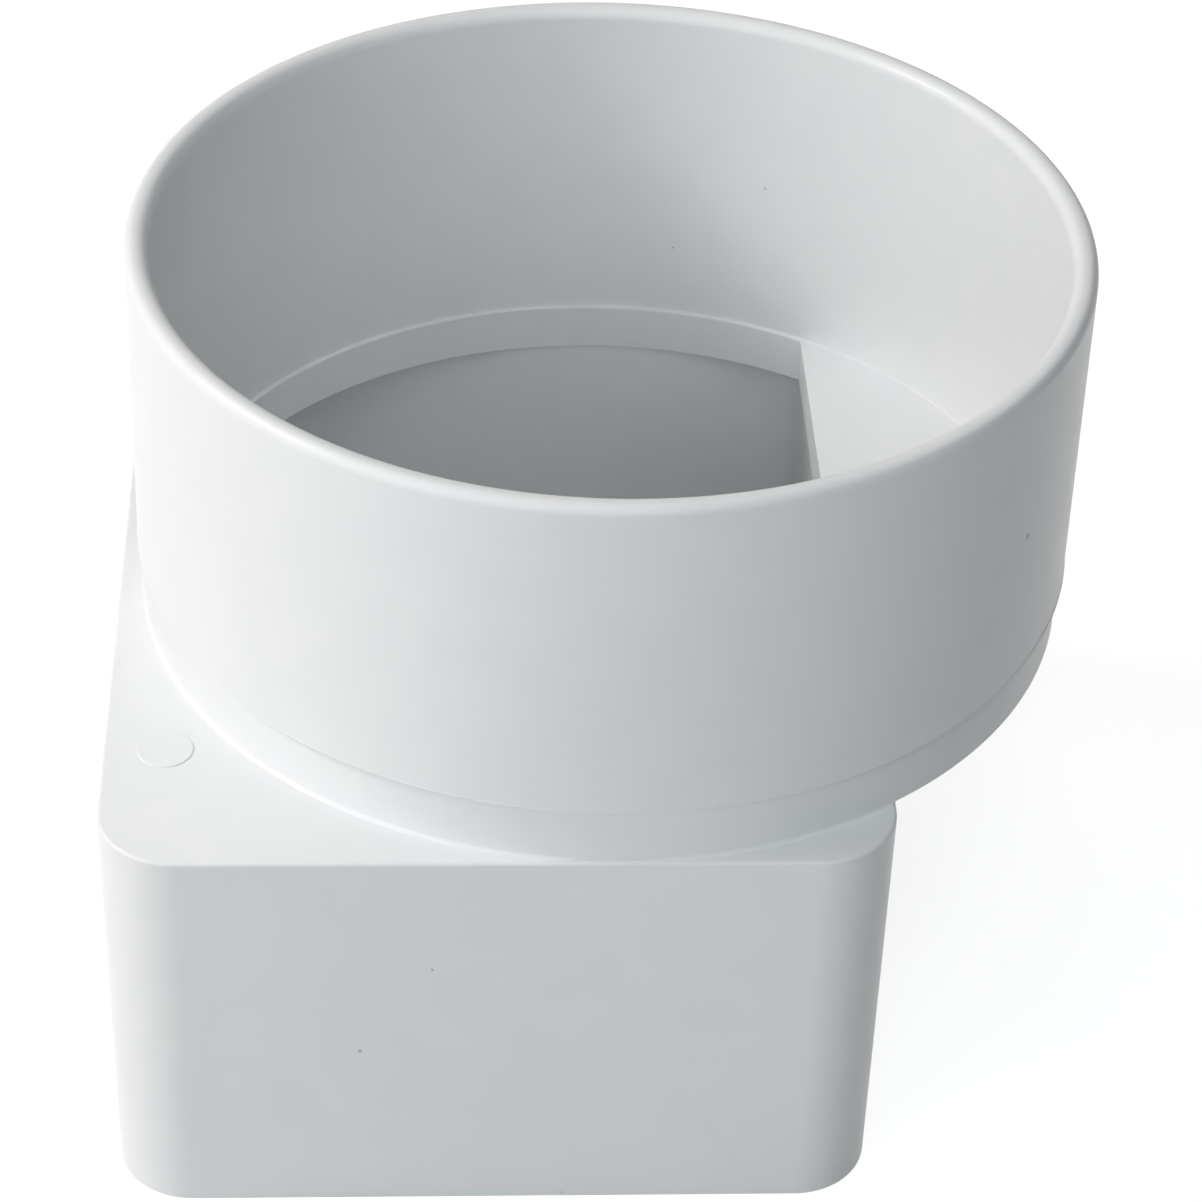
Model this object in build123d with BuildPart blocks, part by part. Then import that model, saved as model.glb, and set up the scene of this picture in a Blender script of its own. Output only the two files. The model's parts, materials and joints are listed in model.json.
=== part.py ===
from build123d import *
import math
import os

# Downspout adapter: one white moulded fitting that joins a round drain pipe, above, to a
# rectangular downspout, below. All sizes are in millimetres.
# The origin is at the middle of the whole outline, on the surface that the fitting stands on.
# +Z points up, out of the pipe socket, and +X points from the box to the overhang of the hub.

# Pipe socket: a straight bore down to the pipe stop, with a slight lead-in below its mouth
socket_r = 53.6
socket_depth = 44.5
lead_in = 0.2
lead_in_depth = 12.0
hub_wall = 2.95
hub_draft = 0.05
rim_outer_round = min(1.2, 0.42 * hub_wall)
rim_inner_round = min(1.5, 0.52 * hub_wall)

# Neck between the hub and the box, measured up from the ledge
neck_height = 7.6
crease_step = 0.6
stop_height = 4.5
stop_step = 0.5
throat_draft = 0.2
neck_cove = 0.7
neck_foot_round = 0.5

# Fine ridge that the mould's parting line leaves round the foot of the hub
seam_ridge = 0.1
seam_ridge_height = 0.3
seam_ridge_slope = 0.18

# Rectangular box, which takes the downspout from below
box_length = 91.5
box_width = 113.0
box_height = 53.1
box_corner_r = 9.5
box_wall = 2.4
box_draft = 0.35
cavity_draft = 0.23
roof_thickness = 1.7
box_edge_round = 0.4
mouth_chamfer = 0.8

# Offset of the hub from the box, and the floor that closes the overhanging part of the hub
hub_offset = 13.45
floor_lip = 1.35

# Round marks that the ejector pins leave on the ledge
pin_mark_r = 3.25
pin_mark_height = 0.2
pin_mark_from_side = 7.2
pin_mark_from_end = 20.5

# Levels
ledge_z = box_height
roof_z = ledge_z - roof_thickness
stop_z = ledge_z + stop_height
crease_z = ledge_z + neck_height
rim_z = stop_z + socket_depth

# Radii about the hub's axis
mouth_r = socket_r + lead_in
throat_top_r = socket_r - stop_step
throat_bottom_r = throat_top_r + throat_draft
hub_rim_r = mouth_r + hub_wall
hub_foot_r = hub_rim_r + hub_draft
seam_r = hub_foot_r + seam_ridge
neck_r = hub_foot_r - crease_step

# Places along X: the outline runs from the box's outer side to the far side of the hub
overall_length = box_length / 2 + hub_offset + seam_r
box_x = box_length / 2 - overall_length / 2
hub_x = box_x + hub_offset

# Inside of the box, just under its roof
cavity_length = box_length - 2 * box_wall
cavity_width = box_width - 2 * box_wall
cavity_corner_r = max(box_corner_r - box_wall, 0.5)
cavity_height = roof_z

hub_axis = Axis((hub_x, 0, 0), (0, 0, 1))
hub_section = Plane(origin=(hub_x, 0, 0), x_dir=(1, 0, 0), z_dir=(0, -1, 0))


def at_box(height):
    """A level plane whose origin is on the axis of the box."""
    return Plane(origin=(box_x, 0, height))


def at_hub(height):
    """A level plane whose origin is on the axis of the hub."""
    return Plane(origin=(hub_x, 0, height))


def draft_angle(growth, height):
    """The draft of a wall that moves sideways by growth over height."""
    return math.degrees(math.atan2(growth, height))


# Cove between the neck and the ledge. It stops short of the rounded edge of the box, so it runs out
# where the neck comes close to the long sides.
with BuildPart() as neck_foot_cove:
    with BuildSketch(hub_section):
        with BuildLine():
            Polyline(
                (neck_r, ledge_z + neck_cove),
                (neck_r - neck_cove, ledge_z + neck_cove),
                (neck_r - neck_cove, ledge_z),
                (neck_r + neck_cove, ledge_z),
            )
            RadiusArc((neck_r + neck_cove, ledge_z), (neck_r, ledge_z + neck_cove), neck_cove)
        make_face()
    revolve(axis=hub_axis, revolution_arc=360)
    with BuildSketch(at_box(ledge_z)):
        RectangleRounded(
            box_length - 2 * box_edge_round,
            box_width - 2 * box_edge_round,
            box_corner_r - box_edge_round,
        )
    extrude(amount=neck_cove, mode=Mode.INTERSECT)

# Filler for the box's rounded top edge where the hub stands over it, so that the flat underside of
# the overhang meets the wall of the box
with BuildPart() as edge_filler:
    with BuildSketch(at_box(ledge_z)):
        RectangleRounded(box_length, box_width, box_corner_r)
    extrude(amount=-2 * box_edge_round, taper=draft_angle(box_draft, box_height))
    with BuildSketch(at_hub(ledge_z)):
        Circle(neck_r - neck_foot_round)
    extrude(amount=-2 * box_edge_round, mode=Mode.INTERSECT)

with BuildPart() as adapter_body:
    # Outside of the box: it narrows towards its open bottom, as the mould pulls it that way
    with BuildSketch(at_box(0)):
        RectangleRounded(
            box_length - 2 * box_draft,
            box_width - 2 * box_draft,
            box_corner_r - box_draft,
        )
    extrude(amount=box_height, taper=-draft_angle(box_draft, box_height))
    fillet(adapter_body.edges().group_by(Axis.Z)[-1], radius=box_edge_round)

    add(edge_filler.part)

    # Neck and hub as one turned cup, whose inner floor is the pipe stop
    with BuildSketch(hub_section) as cup_section:
        with BuildLine():
            Polyline(
                (0, ledge_z),
                (neck_r, ledge_z),
                (neck_r, crease_z),
                (seam_r, crease_z),
                (seam_r, crease_z + seam_ridge_height - seam_ridge_slope),
                (hub_foot_r, crease_z + seam_ridge_height),
                (hub_rim_r, rim_z),
                (mouth_r, rim_z),
                (socket_r, rim_z - lead_in_depth),
                (socket_r, stop_z),
                (0, stop_z),
                close=True,
            )
        make_face()
        rim_corners = cup_section.vertices().group_by(Axis.Y)[-1].sort_by(Axis.X)
        fillet(rim_corners[0], radius=rim_inner_round)
        rim_corner = cup_section.vertices().group_by(Axis.Y)[-1].sort_by(Axis.X)[-1]
        fillet(rim_corner, radius=rim_outer_round)
        foot_corner = cup_section.vertices().sort_by_distance((neck_r, ledge_z))[0]
        fillet(foot_corner, radius=neck_foot_round)
    revolve(axis=hub_axis, revolution_arc=360)
    add(neck_foot_cove.part)

    # Throat: the round opening under the pipe stop, cut off straight where it would leave the box
    with BuildSketch(at_hub(roof_z)):
        Circle(throat_bottom_r)
        with Locations((-hub_offset, 0)):
            Rectangle(cavity_length - 2 * floor_lip, cavity_width, mode=Mode.INTERSECT)
    extrude(
        amount=stop_z - roof_z,
        taper=draft_angle(throat_draft, stop_z - roof_z),
        mode=Mode.SUBTRACT,
    )

    # Downspout socket: it widens towards its mouth, which has a small lead-in
    with BuildSketch(at_box(0)):
        RectangleRounded(
            cavity_length + 2 * cavity_draft,
            cavity_width + 2 * cavity_draft,
            cavity_corner_r + cavity_draft,
        )
    extrude(
        amount=cavity_height,
        taper=draft_angle(cavity_draft, cavity_height),
        mode=Mode.SUBTRACT,
    )
    mouth_edges = adapter_body.faces().sort_by(Axis.Z)[0].inner_wires()[0].edges()
    chamfer(mouth_edges, length=mouth_chamfer)

    # Ejector pin marks, one near each end of the ledge
    pin_mark_x = -box_length / 2 + pin_mark_from_side
    pin_mark_y = box_width / 2 - pin_mark_from_end
    with BuildSketch(at_box(ledge_z)):
        with Locations((pin_mark_x, -pin_mark_y), (pin_mark_x, pin_mark_y)):
            Circle(pin_mark_r)
    extrude(amount=pin_mark_height)

adapter_body.part.label = "adapter_body"

os.makedirs("parts", exist_ok=True)
export_step(adapter_body.part, "parts/adapter_body.step")
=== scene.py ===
import json
import math

import bmesh
import bpy
from mathutils import Matrix, Vector


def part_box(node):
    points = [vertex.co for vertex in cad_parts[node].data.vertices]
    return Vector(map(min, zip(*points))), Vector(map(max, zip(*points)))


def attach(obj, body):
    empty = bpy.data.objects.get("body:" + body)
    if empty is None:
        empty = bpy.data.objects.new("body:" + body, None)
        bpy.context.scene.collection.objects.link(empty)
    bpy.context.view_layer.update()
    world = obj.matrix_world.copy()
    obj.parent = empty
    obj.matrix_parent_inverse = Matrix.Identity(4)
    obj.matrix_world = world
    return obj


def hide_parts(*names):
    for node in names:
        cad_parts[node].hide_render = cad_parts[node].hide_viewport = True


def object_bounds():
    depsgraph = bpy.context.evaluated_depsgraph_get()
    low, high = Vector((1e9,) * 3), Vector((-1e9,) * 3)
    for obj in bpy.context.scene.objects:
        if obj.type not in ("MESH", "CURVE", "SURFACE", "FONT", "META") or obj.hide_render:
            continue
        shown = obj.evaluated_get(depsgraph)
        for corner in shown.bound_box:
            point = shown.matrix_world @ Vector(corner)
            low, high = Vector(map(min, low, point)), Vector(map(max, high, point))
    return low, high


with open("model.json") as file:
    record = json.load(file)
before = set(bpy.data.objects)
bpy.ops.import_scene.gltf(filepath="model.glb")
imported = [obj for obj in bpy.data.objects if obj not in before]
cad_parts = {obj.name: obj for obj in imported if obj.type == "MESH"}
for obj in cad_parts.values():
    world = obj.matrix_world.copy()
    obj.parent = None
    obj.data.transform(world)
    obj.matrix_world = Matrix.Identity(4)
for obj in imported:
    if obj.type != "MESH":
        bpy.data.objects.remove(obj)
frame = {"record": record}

MM = 0.001
cad_low, cad_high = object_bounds()
node_low, node_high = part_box("adapter_body")
mounts = {mount["name"]: mount for mount in frame["record"]["mounts"]}

# Hub and pipe socket. The ridge round the hub's foot is the widest part of the fitting.
HUB_X = mounts["pipe_socket"]["pos_m"][0]
SOCKET_R = mounts["pipe_socket"]["dims"]["r_mm"] * MM
SOCKET_DEPTH = 44.5 * MM
LEAD_IN = 0.2 * MM
LEAD_IN_DEPTH = 12.0 * MM
HUB_WALL = 2.95 * MM
HUB_DRAFT = 0.05 * MM
RIM_OUTER_ROUND = 1.2 * MM
RIM_INNER_ROUND = 1.5 * MM
STOP_CORNER_ROUND = 0.2 * MM
MOUTH_R = SOCKET_R + LEAD_IN
HUB_RIM_R = MOUTH_R + HUB_WALL
HUB_FOOT_R = HUB_RIM_R + HUB_DRAFT
SEAM_R = node_high.y
RIM_Z = node_high.z
STOP_Z = RIM_Z - SOCKET_DEPTH

# Neck, ledge, floor and throat
STOP_HEIGHT = 4.5 * MM
NECK_HEIGHT = 7.6 * MM
CREASE_STEP = 0.6 * MM
SEAM_HEIGHT = 0.3 * MM
SEAM_SLOPE = 0.18 * MM
NECK_FOOT_ROUND = 0.5 * MM
NECK_COVE = 0.55 * MM
ROOF_THICKNESS = 1.7 * MM
STOP_STEP = 0.5 * MM
THROAT_WIDENING = 0.2 * MM
THROAT_EDGE_ROUND = 0.2 * MM
LEDGE_Z = STOP_Z - STOP_HEIGHT
CREASE_Z = LEDGE_Z + NECK_HEIGHT
ROOF_Z = LEDGE_Z - ROOF_THICKNESS
NECK_R = HUB_FOOT_R - CREASE_STEP
THROAT_TOP_R = SOCKET_R - STOP_STEP
THROAT_DRAFT = THROAT_WIDENING / (STOP_Z - ROOF_Z)

# Rectangular box and downspout socket
BOX_X = mounts["downspout_socket"]["pos_m"][0]
BOX_LENGTH = 2 * (BOX_X - node_low.x)
BOX_WIDTH = 113.0 * MM
BOX_CORNER_R = 9.5 * MM
BOX_DRAFT = 0.35 * MM
BOX_WALL = 2.4 * MM
BOX_EDGE_ROUND = 0.4 * MM
BOX_FOOT_ROUND = 0.3 * MM
CAVITY_DRAFT = 0.23 * MM
CAVITY_ROUND = 0.5 * MM
MOUTH_CHAMFER = 0.8 * MM
FLOOR_LIP = 1.35 * MM
LIP_X = BOX_X + BOX_LENGTH / 2 - BOX_WALL - FLOOR_LIP

# Ejector pin marks
PIN_MARK_R = 3.25 * MM
PIN_MARK_HEIGHT = 0.2 * MM
PIN_MARK_ROUND = 0.1 * MM
PIN_MARK_FROM_SIDE = 7.2 * MM
PIN_MARK_FROM_END = 20.5 * MM
PIN_MARK_X = BOX_X - BOX_LENGTH / 2 + PIN_MARK_FROM_SIDE
PIN_MARK_Y = BOX_WIDTH / 2 - PIN_MARK_FROM_END

# Fineness of the mesh: the steps round the hub and the pin marks, and across each kind of round
TURN_STEPS = 256
PIN_MARK_STEPS = 64
CORNER_STEPS = 16
RIM_STEPS = 8
COVE_STEPS = 6
ROUND_STEPS = 4
FINE_ROUND_STEPS = 3
SMOOTH_ANGLE = math.radians(30)

# How far a joined form is sunk where two faces would only touch, how close a point counts as on a line,
# and how close two points are welded where forms meet
SUNK = 0.01 * MM
NEAR = 0.002 * MM
WELD = 0.0005 * MM

# Camera, measured from the fitting's own frame
LENS_MM = 114.62
SENSOR_MM = 36.0
CAMERA_PLACE = Vector((-21.9, -383.6, 333.7)) * MM
CAMERA_AZIMUTH = math.radians(-3.475)
CAMERA_ELEVATION = math.radians(36.643)
CAMERA_ROLL = math.radians(2.056)
CLIP_START = 0.05
CLIP_END = 20.0

# White plastic. Colours are linear. Clouds and mottle are the two scales of its unevenness, and noise
# between the two limits spans each range.
PLASTIC_LOW = (0.832, 0.853, 0.860, 1.0)
PLASTIC_HIGH = (0.864, 0.876, 0.878, 1.0)
ROUGHNESS_LOW = 0.30
ROUGHNESS_HIGH = 0.36
SPECULAR_LEVEL = 0.25
CLOUD_WAVELENGTH = 30.0 * MM
MOTTLE_WAVELENGTH = 6.0 * MM
GRAIN_WAVELENGTH = 2.2 * MM
CLOUDS_IN_TONE = 0.6
CLOUDS_IN_GLOSS = 0.5
NOISE_LOW = 0.3
NOISE_HIGH = 0.7
WAVE_HEIGHT = 0.03 * MM
GRAIN_HEIGHT = 0.0016 * MM

# Dark specks: all of them fade out from a core, and the sparse fine ones have one size
SPECK_COLOUR = (0.10, 0.11, 0.11, 1.0)
SPECK_STRENGTH = 0.5
SPECK_CORE = 0.3
SPECK_SPACING = 11.0 * MM
SPECK_R = 0.16 * MM

# The specks that show best: on the right of the hub, on the front of the box and inside the socket
PLACED_SPECKS = (
    (Vector((47.8, -32.4, 81.1)) * MM, 0.6 * MM),
    (Vector((-28.3, -56.3, 24.3)) * MM, 0.35 * MM),
    (Vector((-19.9, -56.4, 37.1)) * MM, 0.25 * MM),
    (Vector((23.9, 48.6, 78.9)) * MM, 0.25 * MM),
    (Vector((12.5, 52.4, 67.5)) * MM, 0.2 * MM),
)

# Floor, and lamps: their distance, their two sizes and their light's two tints
FLOOR_SIZE = 6.0
FLOOR_COLOUR = (0.6, 0.6, 0.6, 1.0)
FLOOR_LIFT = 0.79
LAMP_DISTANCE = 0.9
COMPACT = 0.22
BROAD = 0.5
WARM_WHITE = (1.0, 0.85, 0.82)
COOL_WHITE = (0.88, 0.965, 1.0)


def start_editing(obj):
    """Open one object in edit mode with all of it selected."""
    bpy.ops.object.select_all(action="DESELECT")
    bpy.context.view_layer.objects.active = obj
    obj.select_set(True)
    bpy.ops.object.mode_set(mode="EDIT")
    bpy.ops.mesh.select_mode(type="EDGE")
    bpy.ops.mesh.select_all(action="SELECT")


def close_up(obj):
    """Weld the doubled points of the object in edit mode, turn its faces outward and leave edit mode."""
    bpy.ops.mesh.select_all(action="SELECT")
    bpy.ops.mesh.remove_doubles(threshold=NEAR)
    bpy.ops.mesh.normals_make_consistent(inside=False)
    bpy.ops.object.mode_set(mode="OBJECT")


def pick_edges(obj, chosen):
    """Select the edges in edit mode whose two ends both pass the test."""
    mesh = bmesh.from_edit_mesh(obj.data)
    for edge in mesh.edges:
        edge.select_set(all(chosen(vertex.co) for vertex in edge.verts))
    bmesh.update_edit_mesh(obj.data)


def from_hub_axis(point):
    """How far a point is from the upright axis of the hub."""
    return math.hypot(point.x - HUB_X, point.y)


def round_ring(obj, radius, height, size, steps):
    """Round the edge that runs right round the hub's axis at one radius and height."""
    pick_edges(obj, lambda p: abs(from_hub_axis(p) - radius) < NEAR and abs(p.z - height) < NEAR)
    bpy.ops.mesh.bevel(offset=size, segments=steps)


def turned_ring(name, profile):
    """A closed ring about the hub's axis: one circle, extruded from point to point of its profile. It is
    left in edit mode."""
    radius, height = profile[0]
    bpy.ops.object.select_all(action="DESELECT")
    bpy.ops.mesh.primitive_circle_add(vertices=TURN_STEPS, radius=radius, location=(HUB_X, 0, height))
    ring = bpy.context.object
    ring.name = name
    bpy.ops.object.transform_apply(location=True)
    start_editing(ring)
    for next_radius, next_height in profile[1:] + profile[:1]:
        bpy.ops.mesh.extrude_edges_indiv()
        bpy.ops.transform.translate(value=(0, 0, next_height - height))
        grow = next_radius / radius
        bpy.ops.transform.resize(value=(grow, grow, 1), center_override=(HUB_X, 0, next_height))
        radius, height = next_radius, next_height
    bpy.ops.mesh.select_all(action="SELECT")
    bpy.ops.mesh.remove_doubles(threshold=NEAR)
    return ring


def upright_block(name, levels):
    """A block on the box's axis with rounded corners, given by its length, width, corner and height at
    each level. It is left in edit mode."""
    bpy.ops.object.select_all(action="DESELECT")
    block = None
    for length, width, corner, height in levels:
        middle = (BOX_X, 0, height)
        bpy.ops.mesh.primitive_plane_add(size=1, location=middle)
        if block is None:
            block = bpy.context.object
            block.name = name
            bpy.ops.object.transform_apply(location=True)
            start_editing(block)
        bpy.ops.transform.resize(value=(length, width, 1), center_override=middle)
        bpy.ops.mesh.bevel(affect="VERTICES", offset=corner, segments=CORNER_STEPS)
        bpy.ops.mesh.delete(type="ONLY_FACE")
    bpy.ops.mesh.select_all(action="SELECT")
    bpy.ops.mesh.bridge_edge_loops()
    bpy.ops.mesh.select_all(action="SELECT")
    bpy.ops.mesh.fill_holes(sides=0)
    return block


def combine(piece, tool, how):
    """Join a form to the piece, cut it away or keep only the overlap. The form is used up, and the points
    that meet along the seam are welded."""
    modifier = piece.modifiers.new(how.lower(), "BOOLEAN")
    modifier.operation = how
    modifier.solver = "EXACT"
    modifier.object = tool
    bpy.ops.object.select_all(action="DESELECT")
    bpy.context.view_layer.objects.active = piece
    piece.select_set(True)
    bpy.ops.object.modifier_apply(modifier=modifier.name)
    bpy.data.objects.remove(tool)
    start_editing(piece)
    bpy.ops.mesh.remove_doubles(threshold=WELD)
    bpy.ops.object.mode_set(mode="OBJECT")


def hub_and_neck():
    """The round socket with its rounded rim, its crease and the parting line's ridge, and the neck."""
    inner_r = 20.0 * MM
    seam_top = CREASE_Z + SEAM_HEIGHT
    hub = turned_ring("fitting", [
        (inner_r, LEDGE_Z),
        (NECK_R, LEDGE_Z),
        (NECK_R, CREASE_Z),
        (SEAM_R, CREASE_Z),
        (SEAM_R, seam_top - SEAM_SLOPE),
        (HUB_FOOT_R, seam_top),
        (HUB_RIM_R, RIM_Z),
        (MOUTH_R, RIM_Z),
        (SOCKET_R, RIM_Z - LEAD_IN_DEPTH),
        (SOCKET_R, STOP_Z),
        (inner_r, STOP_Z),
    ])
    round_ring(hub, NECK_R, LEDGE_Z, NECK_FOOT_ROUND, ROUND_STEPS)
    round_ring(hub, HUB_RIM_R, RIM_Z, RIM_OUTER_ROUND, RIM_STEPS)
    round_ring(hub, MOUTH_R, RIM_Z, RIM_INNER_ROUND, RIM_STEPS)
    round_ring(hub, SOCKET_R, STOP_Z, STOP_CORNER_ROUND, FINE_ROUND_STEPS)
    close_up(hub)
    return hub


def box_outside():
    """The drafted outside of the box, with its top and bottom edges slightly rounded."""
    box = upright_block("box", [
        (BOX_LENGTH - 2 * BOX_DRAFT, BOX_WIDTH - 2 * BOX_DRAFT, BOX_CORNER_R - BOX_DRAFT, 0.0),
        (BOX_LENGTH, BOX_WIDTH, BOX_CORNER_R, LEDGE_Z),
    ])
    pick_edges(box, lambda p: abs(p.z - LEDGE_Z) < NEAR)
    bpy.ops.mesh.bevel(offset=BOX_EDGE_ROUND, segments=ROUND_STEPS)
    pick_edges(box, lambda p: abs(p.z) < NEAR)
    bpy.ops.mesh.bevel(offset=BOX_FOOT_ROUND, segments=FINE_ROUND_STEPS)
    close_up(box)
    return box


def edge_filler():
    """What fills the box's rounded top edge under the hub, so that the overhang meets a plain wall."""
    bottom, top = LEDGE_Z - 2 * BOX_EDGE_ROUND, LEDGE_Z + NECK_FOOT_ROUND
    shrink = 2 * (BOX_DRAFT * 2 * BOX_EDGE_ROUND / LEDGE_Z + NEAR)
    filler = upright_block("filler", [
        (BOX_LENGTH - shrink, BOX_WIDTH - shrink, BOX_CORNER_R, bottom),
        (BOX_LENGTH - 2 * NEAR, BOX_WIDTH - 2 * NEAR, BOX_CORNER_R, top),
    ])
    close_up(filler)
    bpy.ops.object.select_all(action="DESELECT")
    bpy.ops.mesh.primitive_cylinder_add(
        vertices=TURN_STEPS,
        radius=NECK_R - NECK_FOOT_ROUND,
        depth=4 * (top - bottom),
        location=(HUB_X, 0, LEDGE_Z),
    )
    under_hub = bpy.context.object
    combine(filler, under_hub, "INTERSECT")
    return filler


def foot_cove():
    """The small cove where the neck stands on the ledge. It ends at the box's rounded edge."""
    curve = []
    for step in range(COVE_STEPS + 1):
        turn = math.radians(90 * step / COVE_STEPS)
        radius = NECK_R + NECK_COVE * (1 - math.cos(turn)) - SUNK
        height = LEDGE_Z + NECK_COVE * (1 - math.sin(turn)) - SUNK
        curve.append((radius, height))
    cove = turned_ring("cove", curve + [
        (NECK_R + NECK_COVE, LEDGE_Z - NECK_COVE),
        (NECK_R - NECK_COVE, LEDGE_Z - NECK_COVE),
        (NECK_R - NECK_COVE, LEDGE_Z + NECK_COVE - SUNK),
    ])
    close_up(cove)
    inset = 2 * BOX_EDGE_ROUND
    ledge = upright_block("ledge", [
        (BOX_LENGTH - inset, BOX_WIDTH - inset, BOX_CORNER_R - BOX_EDGE_ROUND, LEDGE_Z - NECK_COVE / 2),
        (BOX_LENGTH - inset, BOX_WIDTH - inset, BOX_CORNER_R - BOX_EDGE_ROUND, LEDGE_Z + 2 * NECK_COVE),
    ])
    close_up(ledge)
    combine(cove, ledge, "INTERSECT")
    return cove


def pin_mark(side):
    """One shallow raised disc on the ledge, in front (-1) or behind (+1)."""
    depth = 1.0 * MM
    top = LEDGE_Z + PIN_MARK_HEIGHT
    bpy.ops.object.select_all(action="DESELECT")
    bpy.ops.mesh.primitive_cylinder_add(
        vertices=PIN_MARK_STEPS,
        radius=PIN_MARK_R,
        depth=depth,
        location=(PIN_MARK_X, side * PIN_MARK_Y, top - depth / 2),
    )
    disc = bpy.context.object
    bpy.ops.object.transform_apply(location=True)
    start_editing(disc)
    pick_edges(disc, lambda p: abs(p.z - top) < NEAR)
    bpy.ops.mesh.bevel(offset=PIN_MARK_ROUND, segments=FINE_ROUND_STEPS)
    close_up(disc)
    return disc


def throat_plug():
    """The form of the throat: a drafted round plug, cut off straight at the lip of the floor."""
    reach = 3.0 * MM
    bottom, top = ROOF_Z - reach, STOP_Z + reach
    bpy.ops.object.select_all(action="DESELECT")
    bpy.ops.mesh.primitive_cone_add(
        vertices=TURN_STEPS,
        radius1=THROAT_TOP_R + THROAT_DRAFT * (STOP_Z - bottom),
        radius2=THROAT_TOP_R - THROAT_DRAFT * reach,
        depth=top - bottom,
        location=(HUB_X, 0, (top + bottom) / 2),
    )
    plug = bpy.context.object
    bpy.ops.object.transform_apply(location=True)
    start_editing(plug)
    bpy.ops.mesh.bisect(
        plane_co=(LIP_X, 0, ROOF_Z), plane_no=(1, 0, THROAT_DRAFT), clear_outer=True, use_fill=True
    )
    close_up(plug)
    return plug


def downspout_space():
    """The inside of the box, wider at its mouth, which has a small lead-in."""
    length, width = BOX_LENGTH - 2 * BOX_WALL, BOX_WIDTH - 2 * BOX_WALL
    corner = BOX_CORNER_R - BOX_WALL
    below = 1.0 * MM
    flare = MOUTH_CHAMFER + below
    space = upright_block("space", [
        (length + 2 * (CAVITY_DRAFT + flare), width + 2 * (CAVITY_DRAFT + flare), corner + flare, -below),
        (length + 2 * CAVITY_DRAFT, width + 2 * CAVITY_DRAFT, corner + CAVITY_DRAFT, MOUTH_CHAMFER),
        (length, width, corner, ROOF_Z),
    ])
    pick_edges(space, lambda p: abs(p.z - ROOF_Z) < NEAR)
    bpy.ops.mesh.bevel(offset=CAVITY_ROUND, segments=ROUND_STEPS)
    close_up(space)
    return space


def soften_throat(piece):
    """Round off the upper edge of the throat, round the circle and along the floor's lip."""
    lip_top_x = LIP_X - THROAT_DRAFT * (STOP_Z - ROOF_Z)

    def on_throat_edge(point):
        radius = from_hub_axis(point)
        if abs(point.z - STOP_Z) >= NEAR or radius >= THROAT_TOP_R + NEAR:
            return False
        on_circle = radius > THROAT_TOP_R - 10 * NEAR
        on_lip = abs(point.x - lip_top_x) < NEAR
        return on_circle or on_lip

    start_editing(piece)
    pick_edges(piece, on_throat_edge)
    bpy.ops.mesh.bevel(offset=THROAT_EDGE_ROUND, segments=FINE_ROUND_STEPS)
    close_up(piece)


def smooth_shading(piece):
    """Smooth over the rounds, with the large flat faces kept flat and the true corners kept sharp."""
    bpy.ops.object.select_all(action="DESELECT")
    bpy.context.view_layer.objects.active = piece
    piece.select_set(True)
    bpy.ops.object.shade_smooth_by_angle(angle=SMOOTH_ANGLE)
    weighted = piece.modifiers.new("flat faces", "WEIGHTED_NORMAL")
    weighted.keep_sharp = True
    bpy.ops.object.modifier_apply(modifier=weighted.name)


def moulded_fitting():
    """The whole fitting, moulded in one piece."""
    fitting = hub_and_neck()
    combine(fitting, box_outside(), "UNION")
    combine(fitting, edge_filler(), "UNION")
    combine(fitting, foot_cove(), "UNION")
    combine(fitting, pin_mark(-1), "UNION")
    combine(fitting, pin_mark(1), "UNION")
    combine(fitting, throat_plug(), "DIFFERENCE")
    combine(fitting, downspout_space(), "DIFFERENCE")
    soften_throat(fitting)
    smooth_shading(fitting)
    return fitting


def new_material(name):
    """An empty node material and its tree."""
    material = bpy.data.materials.new(name)
    material.use_nodes = True
    material.node_tree.nodes.clear()
    return material, material.node_tree


def math_node(tree, operation, first, second):
    """One sum or comparison of two sockets or numbers, and its result."""
    node = tree.nodes.new("ShaderNodeMath")
    node.operation = operation
    for socket, value in zip(node.inputs, (first, second)):
        if isinstance(value, (int, float)):
            socket.default_value = value
        else:
            tree.links.new(value, socket)
    return node.outputs["Value"]


def noise(tree, place, wavelength):
    """Soft noise from 0 to 1, with humps about one wavelength apart."""
    node = tree.nodes.new("ShaderNodeTexNoise")
    node.inputs["Scale"].default_value = 1 / wavelength
    node.inputs["Detail"].default_value = 0.0
    tree.links.new(place, node.inputs["Vector"])
    return node.outputs["Fac"]


def blend(tree, first, second, share):
    """Two noises in one, with the first one's share of the whole."""
    part = math_node(tree, "MULTIPLY", first, share)
    rest = math_node(tree, "MULTIPLY", second, 1 - share)
    return math_node(tree, "ADD", part, rest)


def remap(tree, value, old_low, old_high, new_low, new_high):
    """The value carried over evenly from one range to another, and held within it."""
    node = tree.nodes.new("ShaderNodeMapRange")
    tree.links.new(value, node.inputs["Value"])
    limits = {"From Min": old_low, "From Max": old_high, "To Min": new_low, "To Max": new_high}
    for name, limit in limits.items():
        node.inputs[name].default_value = limit
    return node.outputs["Result"]


def speck(tree, place, middle, radius):
    """A mask that is 1 in one small round speck on the surface."""
    gap = tree.nodes.new("ShaderNodeVectorMath")
    gap.operation = "DISTANCE"
    tree.links.new(place, gap.inputs[0])
    gap.inputs[1].default_value = middle
    return remap(tree, gap.outputs["Value"], radius * SPECK_CORE, radius, 1.0, 0.0)


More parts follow.
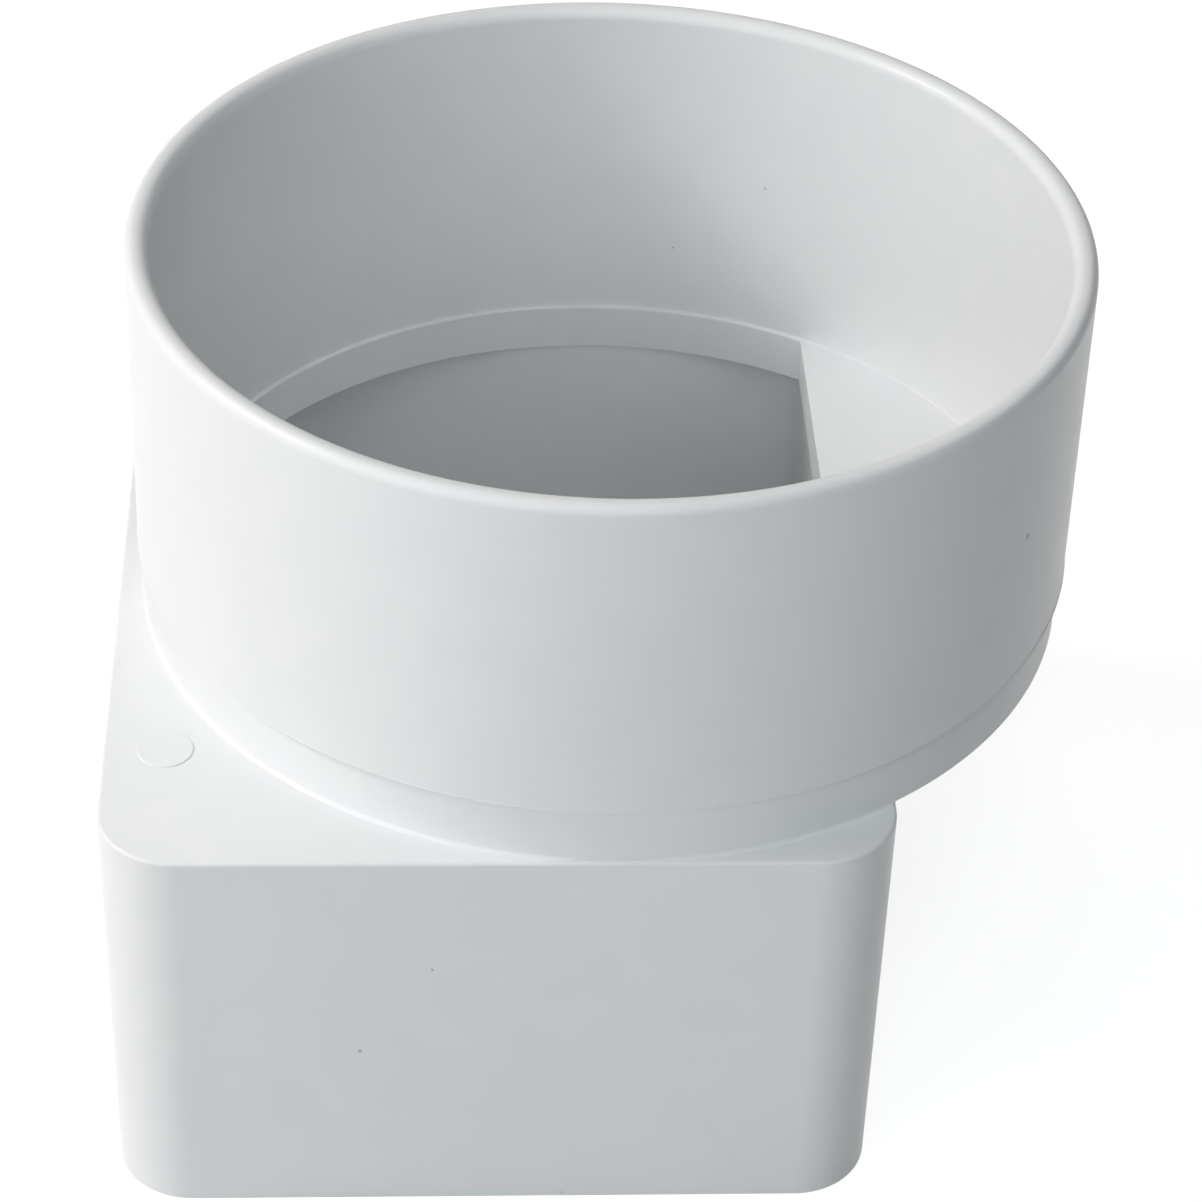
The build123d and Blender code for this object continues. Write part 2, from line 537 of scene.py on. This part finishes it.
def dust_specks(tree, place):
    """A mask of sparse fine specks: what of a loose cloud of points lies just at the surface."""
    cloud = tree.nodes.new("ShaderNodeTexVoronoi")
    cloud.inputs["Scale"].default_value = 1 / SPECK_SPACING
    tree.links.new(place, cloud.inputs["Vector"])
    reach = SPECK_R / SPECK_SPACING
    return remap(tree, cloud.outputs["Distance"], reach * SPECK_CORE, reach, 1.0, 0.0)


def white_plastic():
    """Moulded white plastic: a soft gloss, a faintly uneven tone, fine grain and a few dark specks."""
    material, tree = new_material("white_plastic")
    out = tree.nodes.new("ShaderNodeOutputMaterial")
    shader = tree.nodes.new("ShaderNodeBsdfPrincipled")
    shader.inputs["Specular IOR Level"].default_value = SPECULAR_LEVEL
    place = tree.nodes.new("ShaderNodeTexCoord").outputs["Object"]

    clouds = noise(tree, place, CLOUD_WAVELENGTH)
    mottle = noise(tree, place, MOTTLE_WAVELENGTH)
    tone = blend(tree, clouds, mottle, CLOUDS_IN_TONE)
    colour = tree.nodes.new("ShaderNodeMix")
    colour.data_type = "RGBA"
    tree.links.new(remap(tree, tone, NOISE_LOW, NOISE_HIGH, 0.0, 1.0), colour.inputs["Factor"])
    colour.inputs["A"].default_value = PLASTIC_LOW
    colour.inputs["B"].default_value = PLASTIC_HIGH

    specks = dust_specks(tree, place)
    for middle, radius in PLACED_SPECKS:
        specks = math_node(tree, "MAXIMUM", specks, speck(tree, place, middle, radius))
    dirty = tree.nodes.new("ShaderNodeMix")
    dirty.data_type = "RGBA"
    tree.links.new(math_node(tree, "MULTIPLY", specks, SPECK_STRENGTH), dirty.inputs["Factor"])
    tree.links.new(colour.outputs["Result"], dirty.inputs["A"])
    dirty.inputs["B"].default_value = SPECK_COLOUR
    tree.links.new(dirty.outputs["Result"], shader.inputs["Base Color"])

    gloss = blend(tree, clouds, mottle, CLOUDS_IN_GLOSS)
    roughness = remap(tree, gloss, NOISE_LOW, NOISE_HIGH, ROUGHNESS_LOW, ROUGHNESS_HIGH)
    tree.links.new(roughness, shader.inputs["Roughness"])

    waves = math_node(tree, "MULTIPLY", clouds, WAVE_HEIGHT)
    grain = math_node(tree, "MULTIPLY", noise(tree, place, GRAIN_WAVELENGTH), GRAIN_HEIGHT)
    bump = tree.nodes.new("ShaderNodeBump")
    bump.inputs["Strength"].default_value = 1.0
    bump.inputs["Distance"].default_value = 1.0
    tree.links.new(math_node(tree, "ADD", waves, grain), bump.inputs["Height"])
    tree.links.new(bump.outputs["Normal"], shader.inputs["Normal"])
    tree.links.new(shader.outputs["BSDF"], out.inputs["Surface"])
    return material


def seen_directly(tree):
    """1 where the camera sees a surface straight, in a gloss or through something clear, and else 0."""
    rays = tree.nodes.new("ShaderNodeLightPath").outputs
    mirrored = math_node(tree, "MAXIMUM", rays["Is Glossy Ray"], rays["Is Transmission Ray"])
    return math_node(tree, "MAXIMUM", rays["Is Camera Ray"], mirrored)


def floor_paint():
    """Pale paint that is lifted to white where it is seen, and keeps the shadow of what stands on it."""
    material, tree = new_material("floor_paint")
    out = tree.nodes.new("ShaderNodeOutputMaterial")
    paint = tree.nodes.new("ShaderNodeBsdfDiffuse")
    paint.inputs["Color"].default_value = FLOOR_COLOUR
    glow = tree.nodes.new("ShaderNodeEmission")
    tree.links.new(math_node(tree, "MULTIPLY", seen_directly(tree), FLOOR_LIFT), glow.inputs["Strength"])
    both = tree.nodes.new("ShaderNodeAddShader")
    tree.links.new(paint.outputs["BSDF"], both.inputs[0])
    tree.links.new(glow.outputs["Emission"], both.inputs[1])
    tree.links.new(both.outputs["Shader"], out.inputs["Surface"])
    return material


def add_floor():
    """The plain pale floor that the fitting stands on."""
    bpy.ops.object.select_all(action="DESELECT")
    bpy.ops.mesh.primitive_plane_add(size=FLOOR_SIZE, location=(0, 0, 0))
    floor = bpy.context.object
    floor.name = "floor"
    floor.data.materials.append(floor_paint())


def add_lamp(name, azimuth, elevation, size, watts, colour=(1.0, 1.0, 1.0)):
    """A square lamp that faces the fitting. Azimuth 0 is in front, and 90 is on the right. The broad
    lamps are fills, so they don't show as a gleam in the gloss."""
    turn, tilt = math.radians(azimuth), math.radians(elevation)
    away = Vector((math.sin(turn) * math.cos(tilt), -math.cos(turn) * math.cos(tilt), math.sin(tilt)))
    middle = (cad_low + cad_high) / 2
    light = bpy.data.lights.new(name, "AREA")
    light.shape = "SQUARE"
    light.size = size
    light.energy = watts
    light.color = colour
    lamp = bpy.data.objects.new(name, light)
    lamp.location = middle + away * LAMP_DISTANCE
    lamp.rotation_mode = "QUATERNION"
    lamp.rotation_quaternion = (-away).to_track_quat("-Z", "Y")
    lamp.visible_glossy = size < BROAD
    bpy.context.scene.collection.objects.link(lamp)


def add_lamps():
    """A compact pair on the left as the key, one more high in front, and broad fills round about."""
    add_lamp("key", -95, 42, COMPACT, 2.5)
    add_lamp("key side", -83, 34, COMPACT, 1.65, WARM_WHITE)
    add_lamp("left front", -45, 20, BROAD, 2.45)
    add_lamp("front", 0, 35, BROAD, 1.78, COOL_WHITE)
    add_lamp("front high", 0, 58, COMPACT, 0.4)
    add_lamp("right", 90, 66, BROAD, 0.75)
    add_lamp("back left", -150, 40, BROAD, 1.04)


def add_world():
    """White all round where it is seen or mirrored. It gives the fitting no other light."""
    world = bpy.data.worlds.new("studio")
    world.use_nodes = True
    tree = world.node_tree
    background = tree.nodes["Background"]
    background.inputs["Color"].default_value = (1.0, 1.0, 1.0, 1.0)
    tree.links.new(seen_directly(tree), background.inputs["Strength"])
    bpy.context.scene.world = world


def add_camera():
    """The camera, which looks down on the front of the fitting."""
    camera = bpy.data.objects.new("camera", bpy.data.cameras.new("camera"))
    camera.data.lens = LENS_MM
    camera.data.sensor_width = SENSOR_MM
    camera.data.clip_start = CLIP_START
    camera.data.clip_end = CLIP_END
    camera.matrix_world = (
        Matrix.Translation(CAMERA_PLACE)
        @ Matrix.Rotation(CAMERA_AZIMUTH, 4, "Z")
        @ Matrix.Rotation(math.pi / 2 - CAMERA_ELEVATION, 4, "X")
        @ Matrix.Rotation(CAMERA_ROLL, 4, "Z")
    )
    bpy.context.scene.collection.objects.link(camera)
    bpy.context.scene.camera = camera


fitting = moulded_fitting()
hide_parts("adapter_body")
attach(fitting, "root")
fitting.data.materials.clear()
fitting.data.materials.append(white_plastic())

add_floor()
add_lamps()
add_world()
add_camera()
bpy.context.scene.view_settings.view_transform = "Standard"
